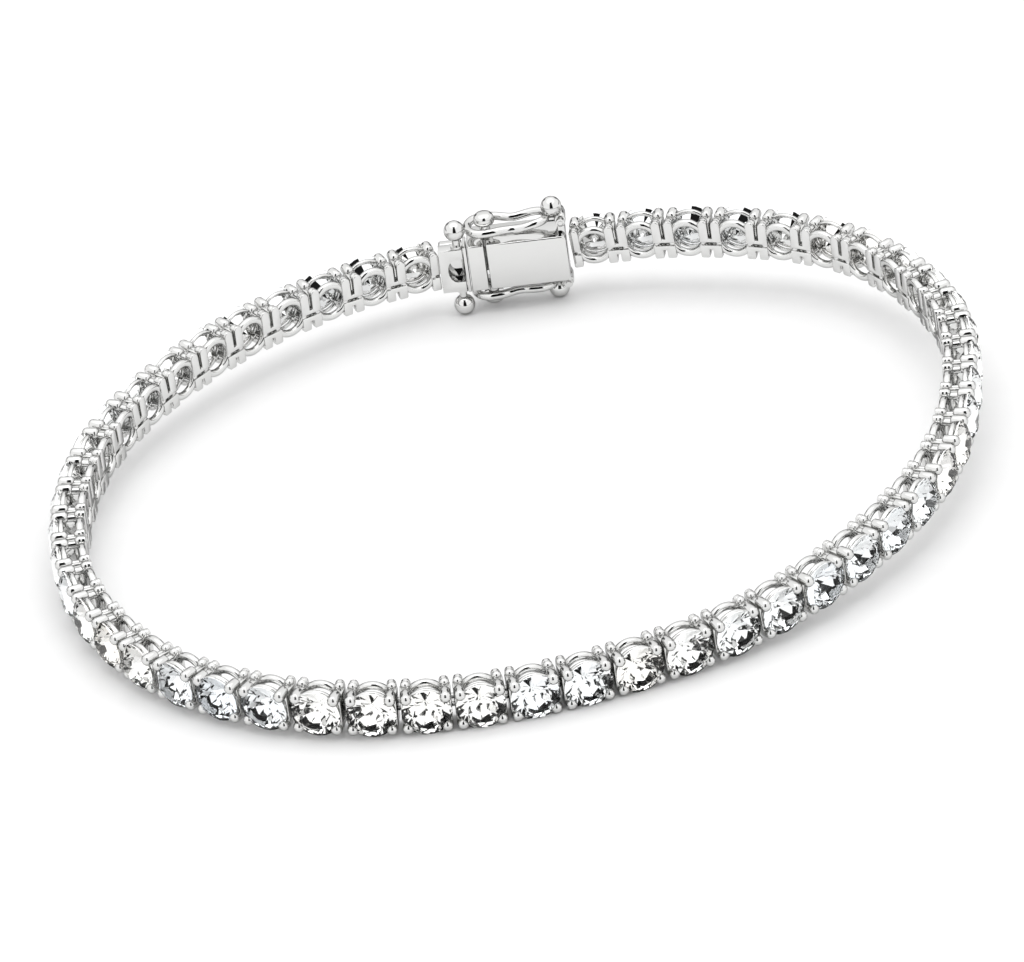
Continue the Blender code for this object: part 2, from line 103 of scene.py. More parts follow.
# (radius, height above the clasp) of a catch knob's outline
KNOB_PROFILE = [(0, -0.2), (0.36, -0.2), (0.36, 0.92), (0.64, 0.94), (0.70, 1.02)]
KNOB_PROFILE += [(0.70, 1.42), (0.66, 1.52), (0.54, 1.64), (0.34, 1.72), (0, 1.75)]
# (radius, place) of a latch barrel's outline, and the figure-8's half widths and heights along x
BARREL_PROFILE = [(0.22, -0.62), (0.36, -0.62), (0.38, -0.60), (0.38, 0.60), (0.36, 0.62), (0.22, 0.62)]
WIRE_HALF_WIDTHS = [(-2.25, 0.0), (-2.13, 0.55), (-1.80, 0.98), (-1.20, 1.20), (-0.45, 1.13), (0.25, 0.95)]
WIRE_HALF_WIDTHS += [(0.90, 0.85), (1.70, 0.93), (2.40, 0.88), (2.98, 0.60), (3.22, 0.0)]
WIRE_RISES = [(-2.25, "knob"), (-0.30, "knob"), (0.90, "waist"), (3.00, "end")]
LATCHES = {
    "top": {
        "side": 1,
        "knob": 0.75,
        "waist": 0.66,
        "end": 0.95,
        "hinge": 0.80,
        "ball": 1.62,
        "finger": 3.64,
    },
    "bottom": {
        "side": -1,
        "knob": 0.68,
        "waist": 0.60,
        "end": 0.66,
        "hinge": 0.52,
        "ball": 1.26,
        "finger": 3.46,
    },
}

# The camera's place, against the loop's own plane
CAMERA_ABOVE_DEG = 31.85
CAMERA_ROLL_DEG = -8.31
CAMERA_DISTANCE = 457.3
CAMERA_LENS = 247.96
AIM = (-0.628, -2.462, 0.0)


# Sizes and colours that a user would change


def linear(hex_colour):
    """A linear colour from an sRGB hex value."""
    values = [int(hex_colour[i : i + 2], 16) / 255 for i in (1, 3, 5)]
    return tuple(v / 12.92 if v <= 0.04045 else ((v + 0.055) / 1.055) ** 2.4 for v in values)


class BraceletStoneSettings(bpy.types.PropertyGroup):
    girdle_radius: FloatProperty(
        name="Girdle radius", description="Half of a stone's width, in mm", default=1.58, min=0.5, max=3.0
    )
    table_share: FloatProperty(
        name="Table", description="Width of the table against the girdle", default=0.57, min=0.4, max=0.7
    )
    crown_deg: FloatProperty(
        name="Crown angle", description="Slope of the bezel facets, in degrees", default=34.5, min=25, max=40
    )
    pavilion_deg: FloatProperty(
        name="Pavilion angle", description="Slope of the main facets below", default=38.5, min=35, max=45
    )
    girdle_place: FloatProperty(
        name="Girdle place",
        description="How far the girdle stands out from the hinge line, in mm",
        default=1.12,
    )
    bend: FloatProperty(
        name="Bend", description="How much the crown bends light, as an IOR", default=1.5, min=1.0
    )
    # Painted shade: the share of light lost on the facets that turn light back inside, which greys them.
    black: FloatProperty(
        name="Black", description="How dark the facets are that turn light back inside", default=0.5
    )
    warm: FloatVectorProperty(
        name="Warm tint",
        description="Colour of the warmest stones",
        subtype="COLOR",
        size=3,
        default=linear("#FFFDFA"),
    )
    cold: FloatVectorProperty(
        name="Cold tint",
        description="Colour of the coldest stones",
        subtype="COLOR",
        size=3,
        default=linear("#FBFDFF"),
    )


class BraceletSettingSettings(bpy.types.PropertyGroup):
    bead_radius: FloatProperty(
        name="Bead radius", description="Radius of the bead on a claw's tip, in mm", default=0.37
    )
    claw_place: FloatProperty(
        name="Claw place",
        description="Claws from the stone's middle, along the string, in mm",
        default=1.22,
    )
    bar_width: FloatProperty(
        name="Bar width", description="Width of a claw's bar and of a plate, in mm", default=0.62
    )
    slit: FloatProperty(
        name="Slit", description="Height of the slit between two hinge plates, in mm", default=0.22
    )
    edge: FloatProperty(name="Edge", description="Rounding of a plate's edges, in mm", default=0.05)
    rail_sides: IntProperty(name="Rail sides", description="Steps round a rail", default=40, min=12, max=64)


class BraceletMetalSettings(bpy.types.PropertyGroup):
    colour: FloatVectorProperty(
        name="Colour",
        description="Reflected colour of the plated metal",
        subtype="COLOR",
        size=3,
        default=linear("#D9D9D8"),
    )
    # Painted shade: a dark edge tint darkens the metal at grazing angles, giving its rims dark outlines.
    painted_edge_shade: FloatVectorProperty(
        name="Edge",
        description="How much of the light the metal keeps where it turns away from the eye",
        subtype="COLOR",
        size=3,
        default=linear("#979797"),
    )
    roughness: FloatProperty(
        name="Roughness", description="Blur of the polish", default=0.035, min=0.0, max=1.0
    )


class BraceletStageSettings(bpy.types.PropertyGroup):
    tent: FloatProperty(name="Tent", description="Brightness of the light tent's walls", default=1.2)
    ceiling: FloatProperty(name="Ceiling", description="Brightness of the overhead softbox", default=1.45)
    slit_width: FloatProperty(
        name="Camera slit",
        description="Half width of the dark slit before the camera, in degrees",
        default=18.0,
    )


# Materials


def add_node(tree, kind, settings=None, inputs=None):
    """One node with its settings; an input is a value, or the socket that feeds it."""
    node = tree.nodes.new(kind)
    for name, value in (settings or {}).items():
        setattr(node, name, value)
    for name, value in (inputs or {}).items():
        if isinstance(value, bpy.types.NodeSocket):
            tree.links.new(value, node.inputs[name])
        else:
            node.inputs[name].default_value = value
    return node


def new_material(name):
    material = bpy.data.materials.new(name)
    material.use_nodes = True
    tree = material.node_tree
    tree.nodes.clear()
    return material, tree


def white_gold_material(name, settings):
    """Rhodium-plated white gold, buffed to a mirror: neutral, with painted shade that darkens it where it
    turns from the eye.
    """
    material, tree = new_material(name)
    place = add_node(tree, "ShaderNodeTexCoord").outputs["Object"]
    # Clouds of 1.1 mm with detail down to 0.07 mm, near a buffing mark's width, vary the polish.
    marks = add_node(
        tree,
        "ShaderNodeTexNoise",
        inputs={"Vector": place, "Scale": 900.0, "Detail": 4.0, "Roughness": 0.6},
    )
    # Hand polishing leaves flat faces very slightly wavy, over about 4 mm.
    waves = add_node(tree, "ShaderNodeTexNoise", inputs={"Vector": place, "Scale": 260.0, "Detail": 1.0})
    rough = add_node(
        tree,
        "ShaderNodeMapRange",
        inputs={
            "Value": marks.outputs["Fac"],
            "To Min": settings.roughness * 0.5,
            "To Max": settings.roughness * 1.8,
        },
    )
    bump = add_node(
        tree,
        "ShaderNodeBump",
        inputs={"Strength": 0.05, "Distance": 0.00004, "Height": waves.outputs["Fac"]},
    )
    shader = add_node(
        tree,
        "ShaderNodeBsdfPrincipled",
        inputs={
            "Base Color": (*settings.colour, 1.0),
            "Metallic": 1.0,
            # Painted shade: the dark edge tint darkens the rims where the surface turns from the eye.
            "Specular Tint": (*settings.painted_edge_shade, 1.0),
            "Roughness": rough.outputs["Result"],
            "Normal": bump.outputs["Normal"],
        },
    )
    add_node(tree, "ShaderNodeOutputMaterial", inputs={"Surface": shader.outputs["BSDF"]})
    return material


def diamond_tint(tree, settings):
    """Colourless diamonds differ a little from one to the next, between warm and cold."""
    place = add_node(tree, "ShaderNodeTexCoord").outputs["Object"]
    # One cloud in about 8 mm, so that neighbours differ.
    cloud = add_node(tree, "ShaderNodeTexNoise", inputs={"Vector": place, "Scale": 120.0, "Detail": 0.0})
    tint = add_node(
        tree,
        "ShaderNodeMix",
        settings={"data_type": "RGBA"},
        inputs={"Factor": cloud.outputs["Fac"], "A": (*settings.warm, 1.0), "B": (*settings.cold, 1.0)},
    )
    return tint.outputs["Result"]


def crown_material(settings):
    """Colourless diamond with flat polished facets: light goes in and out sharply bent, without blur."""
    material, tree = new_material("Polished colourless diamond")
    tint = diamond_tint(tree, settings)
    glass = add_node(
        tree, "ShaderNodeBsdfGlass", inputs={"Color": tint, "Roughness": 0.0, "IOR": settings.bend}
    )
    # Refraction alone leaves black what meets a facet from inside too flatly to come out, so mixing it in
    # paints shade on those facets.
    through = add_node(
        tree, "ShaderNodeBsdfRefraction", inputs={"Color": tint, "Roughness": 0.0, "IOR": settings.bend}
    )
    face = add_node(tree, "ShaderNodeMixShader", inputs={"Fac": settings.black})
    tree.links.new(glass.outputs["BSDF"], face.inputs[1])
    tree.links.new(through.outputs["BSDF"], face.inputs[2])
    add_node(tree, "ShaderNodeOutputMaterial", inputs={"Surface": face.outputs["Shader"]})
    return material


def pavilion_material(settings):
    """Diamond's lower facets, which turn back nearly all the light inside, as a mirror does."""
    material, tree = new_material("Diamond pavilion in total reflection")
    shader = add_node(
        tree,
        "ShaderNodeBsdfPrincipled",
        inputs={"Base Color": diamond_tint(tree, settings), "Metallic": 1.0, "Roughness": 0.0},
    )
    add_node(tree, "ShaderNodeOutputMaterial", inputs={"Surface": shader.outputs["BSDF"]})
    return material


def metal():
    found = bpy.data.materials.get("Rhodium-plated white gold")
    return found or white_gold_material("Rhodium-plated white gold", bpy.context.scene.bracelet_metal)


# The loop's places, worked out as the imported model's are


def between(four, t):
    """A smooth curve through four values or points, a share t of the way from the second to the third."""
    a, b, c, d = four
    bend = (a - 2.5 * b + 2 * c - d / 2) * t**2
    return b + (c - a) * t / 2 + bend + (1.5 * (b - c) + (d - a) / 2) * t**3


def loop_value(values, degrees):
    """A value of one of the loop's tables, smooth between its rows."""
    count = len(values)
    place = (degrees % 360) * count / 360
    index = int(place)
    return between([values[(index + i) % count] for i in (-1, 0, 1, 2)], place - index)


def loop_point(degrees, scale):
    angle = math.radians(degrees)
    distance = loop_value(LOOP_SHAPE, degrees) * scale
    return Vector((math.cos(angle) * distance, math.sin(angle) * distance, loop_value(LOOP_RISE, degrees)))


def hinge_points(scale):
    """The string's joints, one pitch apart, from the clasp's box end round the loop."""
    angle = LOOP_START_DEG
    points = [loop_point(angle, scale)]
    for _ in range(LINKS):
        near, far = angle, angle - 15
        for _ in range(40):
            middle = (near + far) / 2
            if (loop_point(middle, scale) - points[-1]).length < PITCH:
                near = middle
            else:
                far = middle
        angle = (near + far) / 2
        points.append(loop_point(angle, scale))
    return points


def closed_loop():
    """The joints at the loop size whose open end just takes the clasp."""
    small, large = 0.9, 1.1
    for _ in range(40):
        scale = (small + large) / 2
        points = hinge_points(scale)
        turned = points[0].cross(points[-1]).z > 0
        gap = (points[0] - points[-1]).length * (1 if turned else -1)
        if gap < CLASP_CHORD:
            small = scale
        else:
            large = scale
    return points


def frame_between(start, end, origin):
    """A frame with x from start to end, y outward from the loop and z up."""
    along = (end - start).normalized()
    outward = Vector((-along.y, along.x, 0)).normalized()
    turn = Matrix((along, outward, along.cross(outward))).transposed().to_4x4()
    return Matrix.Translation(origin) @ turn


def places():
    """(hinge points, clasp's matrix, loop to floor matrix), in millimetres."""
    points = closed_loop()
    chord = (points[0] - points[-1]).normalized()
    clasp = frame_between(points[-1], points[0], points[0] - chord * CLASP_FROM_FIRST_LINK)
    clasp = clasp @ Matrix.Rotation(math.radians(CLASP_TURN_DEG), 4, "Z")
    towards = math.radians(LEAN_TOWARDS_DEG)
    lean = Matrix.Rotation(math.radians(LEAN_DEG), 4, Vector((-math.sin(towards), math.cos(towards), 0)))
    hinge = Vector((HINGE_X, 0, BODY_HALF + LATCHES["top"]["hinge"]))
    known = Vector(JOINTS["latch_top_hinge"]["pos_m"]) / MM
    floor = Matrix.Translation(known - lean @ clasp @ hinge) @ lean
    return points, clasp, floor


POINTS, CLASP, TO_FLOOR = places()
TO_METRES = Matrix.Scale(MM, 4) @ TO_FLOOR


# Shapes


def add_piece(name, shape, materials, body, nodes, smooth=35.0):
    """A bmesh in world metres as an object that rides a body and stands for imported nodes."""
    mesh = bpy.data.meshes.new(name)
    shape.to_mesh(mesh)
    shape.free()
    for material in materials:
        mesh.materials.append(material)
    made = bpy.data.objects.new(name, mesh)
    bpy.context.scene.collection.objects.link(made)
    if smooth:
        mesh.shade_smooth()
        mesh.set_sharp_from_angle(angle=math.radians(smooth))
    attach(made, body)
    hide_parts(*nodes)
    return made


def add_copy(shape, part, matrix):
    """Adds a copy of one bmesh, under a matrix, to another."""
    mesh = bpy.data.meshes.new("copy")
    part.to_mesh(mesh)
    mesh.transform(matrix)
    if matrix.determinant() < 0:
        mesh.flip_normals()
    shape.from_mesh(mesh)
    bpy.data.meshes.remove(mesh)


def add_rounded_box(shape, low, high, radius, steps=2):
    """A box between two corners, with its edges rounded."""
    low, high = Vector(low), Vector(high)
    size = Matrix.Diagonal((*(high - low), 1.0))
    made = bmesh.ops.create_cube(shape, size=1.0, matrix=Matrix.Translation((low + high) / 2) @ size)
    edges = {edge for vert in made["verts"] for edge in vert.link_edges}
    bmesh.ops.bevel(
        shape, geom=list(edges), offset=radius, segments=steps, profile=0.5, affect="EDGES", material=-1
    )


def add_outline(shape, outline, depth, to_place, radius, steps=2):
    """A flat (x, z) outline pushed along y, with its rim edges and corners rounded."""
    part = bmesh.new()
    face = part.faces.new([part.verts.new((x, 0, z)) for x, z in outline])
    pushed = bmesh.ops.extrude_face_region(part, geom=[face])
    moved = [v for v in pushed["geom"] if isinstance(v, bmesh.types.BMVert)]
    bmesh.ops.translate(part, verts=moved, vec=(0, depth, 0))
    bmesh.ops.recalc_face_normals(part, faces=part.faces)
    bmesh.ops.bevel(
        part, geom=list(part.edges), offset=radius, segments=steps, profile=0.5, affect="EDGES", material=-1
    )
    add_copy(shape, part, to_place)
    part.free()


def add_turned(shape, profile, sides, axis, centre=(0, 0, 0)):
    """A solid turned from (radius, place) points; a profile that starts off the axis closes on itself."""
    axis = Vector(axis)
    across = axis.orthogonal().normalized()
    part = bmesh.new()
    points = [part.verts.new(across * r + axis * h) for r, h in profile]
    if profile[0][0] > 0:
        points.append(points[0])
    edges = [part.edges.new(pair) for pair in zip(points, points[1:])]
    bmesh.ops.spin(
        part,
        geom=list(part.verts) + edges,
        cent=(0, 0, 0),
        axis=axis,
        angle=math.tau,
        steps=sides,
        use_merge=True,
    )
    bmesh.ops.remove_doubles(part, verts=part.verts, dist=1e-5)
    bmesh.ops.recalc_face_normals(part, faces=part.faces)
    add_copy(shape, part, Matrix.Translation(centre))
    part.free()


def add_ball(shape, centre, radius, sides=12, rings=8, stretch=(1, 1, 1)):
    bmesh.ops.create_uvsphere(
        shape,
        u_segments=sides,
        v_segments=rings,
        radius=radius,
        matrix=Matrix.Translation(centre) @ Matrix.Diagonal((*stretch, 1.0)),
    )


def add_rod(shape, start, end, radius, sides=10, end_radius=None):
    start, end = Vector(start), Vector(end)
    turn = (end - start).to_track_quat("Z", "Y").to_matrix().to_4x4()
    bmesh.ops.create_cone(
        shape,
        cap_ends=True,
        segments=sides,
        radius1=radius,
        radius2=radius if end_radius is None else end_radius,
        depth=(end - start).length,
        matrix=Matrix.Translation((start + end) / 2) @ turn,
    )


def ring_profile(middle, width, depth, place, steps=14):
    """A rounded cross-section for a turned rail."""
    points = []
    for i in range(steps):
        angle = math.tau * (i + 0.5) / steps
        x = abs(math.cos(angle)) ** 0.85 * math.copysign(1, math.cos(angle))
        y = abs(math.sin(angle)) ** 0.85 * math.copysign(1, math.sin(angle))
        points.append((middle + x * width / 2, place + y * depth / 2))
    return points


# Stones


def cut_below(shape, point, normal):
    """Cuts away what is on the normal's side of a plane, and closes the cut with one flat facet."""
    geom = list(shape.verts) + list(shape.edges) + list(shape.faces)
    cut = bmesh.ops.bisect_plane(
        shape, geom=geom, dist=1e-6, plane_co=point, plane_no=normal, clear_outer=True
    )
    edges = [e for e in cut["geom_cut"] if isinstance(e, bmesh.types.BMEdge) and e.is_boundary]
    if edges:
        bmesh.ops.contextual_create(shape, geom=edges)


def brilliant(settings):
    """A round brilliant of 57 facets, cut plane by plane from a round blank, its table towards +y."""
    radius = settings.girdle_radius
    shape = bmesh.new()
    turn = Matrix.Rotation(math.radians(-90), 4, "X")
    bmesh.ops.create_cone(
        shape, cap_ends=True, segments=32, radius1=radius, radius2=radius, depth=4 * radius, matrix=turn
    )
    table = radius * settings.table_share
    crown = math.radians(settings.crown_deg)
    star = math.radians(settings.crown_deg - 13)
    girdle_half = 0.02 * radius
    crown_height = (radius - table) * math.tan(crown)

    def facet(angle_deg, slope, reach, height, sign):
        around = math.radians(angle_deg)
        out = Vector((math.cos(around), 0, math.sin(around)))
        normal = out * math.sin(slope) + Vector((0, sign, 0)) * math.cos(slope)
        cut_below(shape, out * reach + Vector((0, sign * height, 0)), normal)

    cut_below(shape, (0, girdle_half + crown_height, 0), (0, 1, 0))
    for k in range(8):
        facet(45 * k, crown, radius, girdle_half, 1)
    for k in range(8):
        facet(45 * k + 22.5, star, table * 0.945, girdle_half + crown_height, 1)
    for k in range(16):
        facet(22.5 * k + 11.25, math.radians(settings.crown_deg + 6.5), radius * 0.997, girdle_half, 1)
    pavilion = math.radians(settings.pavilion_deg)
    for k in range(8):
        facet(45 * k, pavilion, radius, girdle_half, -1)
    for k in range(16):
        facet(22.5 * k + 11.25, pavilion + math.radians(1.4), radius * 0.997, girdle_half, -1)
    bmesh.ops.recalc_face_normals(shape, faces=shape.faces)
    for face in shape.faces:
        if face.normal.y < 0.1:
            face.material_index = 1
    return shape


class BRACELET_OT_stones(bpy.types.Operator):
    """Build the string's round brilliants, one piece for each half of the string"""

    bl_idname = "bracelet.stones"
    bl_label = "Stones"

    def execute(self, context):
        settings = context.scene.bracelet_stone
        materials = [crown_material(settings), pavilion_material(settings)]
        stone = brilliant(settings)
        for half, first, last in (("right", 0, RIGHT_LINKS), ("left", RIGHT_LINKS, LINKS)):
            shape = bmesh.new()
            for index in range(first, last):
                a, b = POINTS[index], POINTS[index + 1]
                place = frame_between(a, b, (a + b) / 2) @ Matrix.Translation((0, settings.girdle_place, 0))
                # Setters turn each stone as it comes.
                turned = Matrix.Rotation(math.radians((index * 37) % 45), 4, "Y")
                add_copy(shape, stone, TO_METRES @ place @ turned)
            add_piece(f"stones_{half}", shape, materials, "bracelet", [f"string_{half}"], smooth=None)
        stone.free()
        return {"FINISHED"}


# Settings


def arch(left, right, foot, top, radius, steps=4):
    """(x, z) points of an upright tab with round corners at its end, from its left foot to its right one."""
    sign = 1 if top > foot else -1
    points = [(left, foot)]
    for middle, start in ((left + radius, 180), (right - radius, 90)):
        for i in range(steps + 1):
            angle = math.radians(start - 90 * i / steps)
            points.append((middle + radius * math.cos(angle), top - sign * radius * (1 - math.sin(angle))))
    return points + [(right, foot)]


def add_claw(shape, place, radius):
    """A claw's round tip along y, with a low dome in front and a rounded back end."""
    profile = [(0, CLAW_START)]
    for i in range(1, 4):
        angle = math.radians(30 * i)
        profile.append((radius * math.sin(angle), CLAW_START + CLAW_END_ROUND * (1 - math.cos(angle))))
    for i in range(6):
        angle = math.radians(18 * i)
        profile.append((radius * math.cos(angle), CLAW_SHOULDER + CLAW_DOME * math.sin(angle)))
    profile.append((0, CLAW_SHOULDER + CLAW_DOME))
    part = bmesh.new()
    add_turned(part, profile, 16, (0, 1, 0))
    add_copy(shape, part, place)
    part.free()


def link_setting(settings):
    """One stone's setting: four claws with beads, the blocks behind them and two round rails."""
    shape = bmesh.new()
    x = settings.claw_place
    half = settings.bar_width / 2
    radius = settings.bead_radius
    bead_z = LINK_TOP + 0.01 - radius
    for side in (-1, 1):
        for up in (-1, 1):
            turn = Matrix.Translation((side * x, 0, up * bead_z))
            add_claw(shape, turn, radius)
            stem = (side * x, -0.35, up * 0.90), (side * x, 0.6, up * 0.94)
            add_rod(shape, *stem, CLAW_STEM_RADIUS, 12)
            low, high = sorted((up * BLOCK_FOOT, up * LINK_TOP))
            block = (side * x - half, BLOCK_BACK, low), (side * x + half, BLOCK_FRONT, high)
            add_rounded_box(shape, *block, BLOCK_ROUND, 4)
        left, right = sorted((side * (x + 0.06), side * (x + half + 0.05)))
        wall = (left, WALL_BACK, -WALL_HALF_HEIGHT), (right, WALL_FRONT, WALL_HALF_HEIGHT)
        add_rounded_box(shape, *wall, WALL_ROUND)
    for rail in (SEAT_RAIL, BACK_RAIL):
        add_turned(shape, ring_profile(*rail), settings.rail_sides, (0, 1, 0))
    return shape


def hinge_plates(settings, sides=(-1, 1)):
    """The two plates that join neighbours behind, one open upward and one downward, a slit between."""
    shape = bmesh.new()
    near = PITCH / 2 - settings.claw_place - settings.bar_width / 2
    far = near + settings.bar_width
    back = Matrix.Translation((0, PLATE_BACK, 0))
    high = PLATE_SLIT_Z + settings.slit / 2
    low = PLATE_SLIT_Z - settings.slit / 2
    if len(sides) == 2:
        upper = [(-far, high)] + arch(-far, -near, UPPER_FLOOR, LINK_TOP, TAB_TOP_ROUND)[1:]
        upper += arch(near, far, UPPER_FLOOR, LINK_TOP, TAB_TOP_ROUND)[:-1] + [(far, high)]
        lower = [(-far, low)] + arch(-far, -near, LOWER_ROOF, -LINK_TOP, TAB_FOOT_ROUND)[1:]
        lower += arch(near, far, LOWER_ROOF, -LINK_TOP, TAB_FOOT_ROUND)[:-1] + [(far, low)]
    else:
        one, two = sorted((sides[0] * near, sides[0] * far))
        upper = arch(one, two, high, LINK_TOP, TAB_TOP_ROUND)
        lower = arch(one, two, low, -LINK_TOP, TAB_FOOT_ROUND)
    add_outline(shape, upper, PLATE_DEPTH, back, settings.edge)
    add_outline(shape, lower, PLATE_DEPTH, back, settings.edge)
    return shape


class BRACELET_OT_settings(bpy.types.Operator):
    """Build the claws, rails and hinge plates of the string, one piece for each half"""

    bl_idname = "bracelet.settings"
    bl_label = "Settings"

    def execute(self, context):
        settings = context.scene.bracelet_setting
        link = link_setting(settings)
        plates = hinge_plates(settings)
        for half, first, last in (("right", 0, RIGHT_LINKS), ("left", RIGHT_LINKS, LINKS)):
            shape = bmesh.new()
            for index in range(first, last):
                a, b = POINTS[index], POINTS[index + 1]
                add_copy(shape, link, TO_METRES @ frame_between(a, b, (a + b) / 2))
                if index > 0:
                    before = POINTS[index - 1]
                    add_copy(shape, plates, TO_METRES @ frame_between(before, b, a))
            end, sides = (0, (1,)) if half == "right" else (LINKS, (-1,))
            lone = hinge_plates(settings, sides)
            a, b = (POINTS[0], POINTS[1]) if half == "right" else (POINTS[-2], POINTS[-1])
            add_copy(shape, lone, TO_METRES @ frame_between(a, b, POINTS[end]))
            lone.free()
            add_piece(f"settings_{half}", shape, [metal()], "bracelet", [f"string_{half}"], 45.0)
        link.free()
        plates.free()
        return {"FINISHED"}


# Clasp


def finished(shape, name, body, nodes, smooth=35.0):
    """Moves a clasp shape from the clasp's own millimetres to its place, and adds it as a piece."""
    bmesh.ops.transform(shape, matrix=TO_METRES @ CLASP, verts=shape.verts)
    return add_piece(name, shape, [metal()], body, nodes, smooth)


class BRACELET_OT_clasp_end(bpy.types.Operator):
    """Build the clasp's end block, flange, middle block, release balls and catch knobs"""

    bl_idname = "bracelet.clasp_end"
    bl_label = "Clasp end"

    def execute(self, context):
        shape = bmesh.new()
        left, right = END_LEFT, FLANGE_LEFT + 0.02
        outline = [(left, -END_HALF), (right, -END_HALF), (right, -SLOT_HALF)]
        for i in range(9):
            angle = math.radians(-90 - 180 * i / 8)
            across = SLOT_LEFT + SLOT_REACH + SLOT_REACH * math.cos(angle)
            outline.append((across, SLOT_HALF * math.sin(angle)))
        outline += [(right, SLOT_HALF), (right, END_HALF), (left, END_HALF)]
        add_outline(shape, outline, END_DEPTH, Matrix.Translation((0, CLASP_BACK, 0)), 0.05)
        # The end block's plain outer half, the flange, the middle block and the tongue
        boxes = [
            ((left + 0.02, CLASP_BACK + END_DEPTH - 0.05, -END_HALF), (right, END_FRONT, END_HALF), 0.16, 3),
            (
                (FLANGE_LEFT + 0.08, CLASP_BACK, -END_HALF - 0.12),
                (FLANGE_RIGHT - 0.04, END_FRONT, END_HALF + 0.12),
                0.05,
                2,
            ),
            ((NECK_LEFT + 0.1, CLASP_BACK, -BODY_HALF), (NECK_RIGHT, CLASP_FRONT, BODY_HALF), 0.08, 3),
            ((NECK_RIGHT - 0.2, -0.3, -0.9), (2.4, 0.9, 0.9), 0.05, 2),
        ]
        for low, high, radius, steps in boxes:
            add_rounded_box(shape, low, high, radius, steps)
        for side in (1, -1):
            top = side * END_HALF
            ball = (BALL_X, BALL_Y, top + side * BALL_RISE)
            add_rod(shape, (BALL_X, BALL_Y, top - side * 0.2), ball, BALL_STEM_RADIUS, 16)
            collar = (BALL_X, BALL_Y, top - side * 0.1), (BALL_X, BALL_Y, top + side * 0.14)
            add_rod(shape, *collar, 0.42, 20)
            add_ball(shape, ball, BALL_RADIUS, 40, 24)
            knob = [(radius, (BODY_HALF + height) * side) for radius, height in KNOB_PROFILE]
            add_turned(shape, knob, 24, (0, 0, 1), (KNOB_X, 0, 0))
        finished(shape, "end_block", "bracelet", ["clasp_end"])
        return {"FINISHED"}


class BRACELET_OT_clasp_box(bpy.types.Operator):
    """Build the clasp's box with the lugs and pins of both latches"""

    bl_idname = "bracelet.clasp_box"
    bl_label = "Clasp box"

    def execute(self, context):
        shape = bmesh.new()
        corner_x, corner_z = BOX_RIGHT - BOX_CORNER, BODY_HALF - BOX_CORNER
        outline = [(BOX_LEFT, -BODY_HALF), (corner_x, -BODY_HALF), (BOX_RIGHT, -corner_z)]
        outline += [(BOX_RIGHT, corner_z), (corner_x, BODY_HALF), (BOX_LEFT, BODY_HALF)]
        depth = CLASP_FRONT - CLASP_BACK
        add_outline(shape, outline, depth, Matrix.Translation((0, CLASP_BACK, 0)), 0.09, 3)
        for latch in LATCHES.values():
            side = latch["side"]
            z = side * (BODY_HALF + latch["hinge"])
            foot = side * (BODY_HALF - 0.2)
            low_z, high_z = sorted((foot, z))
            for front in (1, -1):
                low_y, high_y = sorted((front * LUG_INNER, front * LUG_OUTER))
                low = (HINGE_X - LUG_HALF_WIDTH, low_y, low_z)
                high = (HINGE_X + LUG_HALF_WIDTH, high_y, high_z)
                add_rounded_box(shape, low, high, 0.03, 1)
                add_rod(shape, (HINGE_X, low_y, z), (HINGE_X, high_y, z), 0.30, 20)
            pin = (HINGE_X, -PIN_HALF_LENGTH, z), (HINGE_X, PIN_HALF_LENGTH, z)
            add_rod(shape, *pin, PIN_RADIUS, 16)
        finished(shape, "box", "bracelet", ["clasp_box"])
        return {"FINISHED"}


def smooth_between(points, x):
    """A value at x from (x, value) rows, eased from each row to the next."""
    for (x0, v0), (x1, v1) in zip(points, points[1:]):
        if x <= x1:
            t = min(max((x - x0) / (x1 - x0), 0), 1)
            return v0 + (v1 - v0) * t * t * (3 - 2 * t)
    return points[-1][1]


def wire_path(latch, count=96):
    """Points along the figure-8 wire's middle, in the clasp's millimetres."""
    half = [Vector((x, w, 0)) for x, w in WIRE_HALF_WIDTHS]
    whole = half + [Vector((p.x, -p.y, 0)) for p in reversed(half[1:-1])]
    size = len(whole)
    rises = [(x, latch[place]) for x, place in WIRE_RISES]
    path = []
    for k in range(count):
        place = k * size / count
        index = int(place)
        point = between([whole[(index + j) % size] for j in (-1, 0, 1, 2)], place - index)
        z = latch["side"] * (BODY_HALF + smooth_between(rises, point.x))
        path.append(Vector((point.x, point.y, z)))
    return path


def add_wire(shape, path, radius):
    """A round wire along a closed path of points."""
    curve = bpy.data.curves.new("wire", "CURVE")
    curve.dimensions = "3D"
    curve.bevel_depth = radius
    curve.bevel_resolution = 4
    spline = curve.splines.new("POLY")
    spline.points.add(len(path) - 1)
    for point, place in zip(spline.points, path):
        point.co = (*place, 1)
    spline.use_cyclic_u = True
    holder = bpy.data.objects.new("wire", curve)
    bpy.context.scene.collection.objects.link(holder)
    graph = bpy.context.evaluated_depsgraph_get()
    mesh = bpy.data.meshes.new_from_object(holder.evaluated_get(graph))
    bpy.data.objects.remove(holder, do_unlink=True)
    bpy.data.curves.remove(curve)
    shape.from_mesh(mesh)
    bpy.data.meshes.remove(mesh)


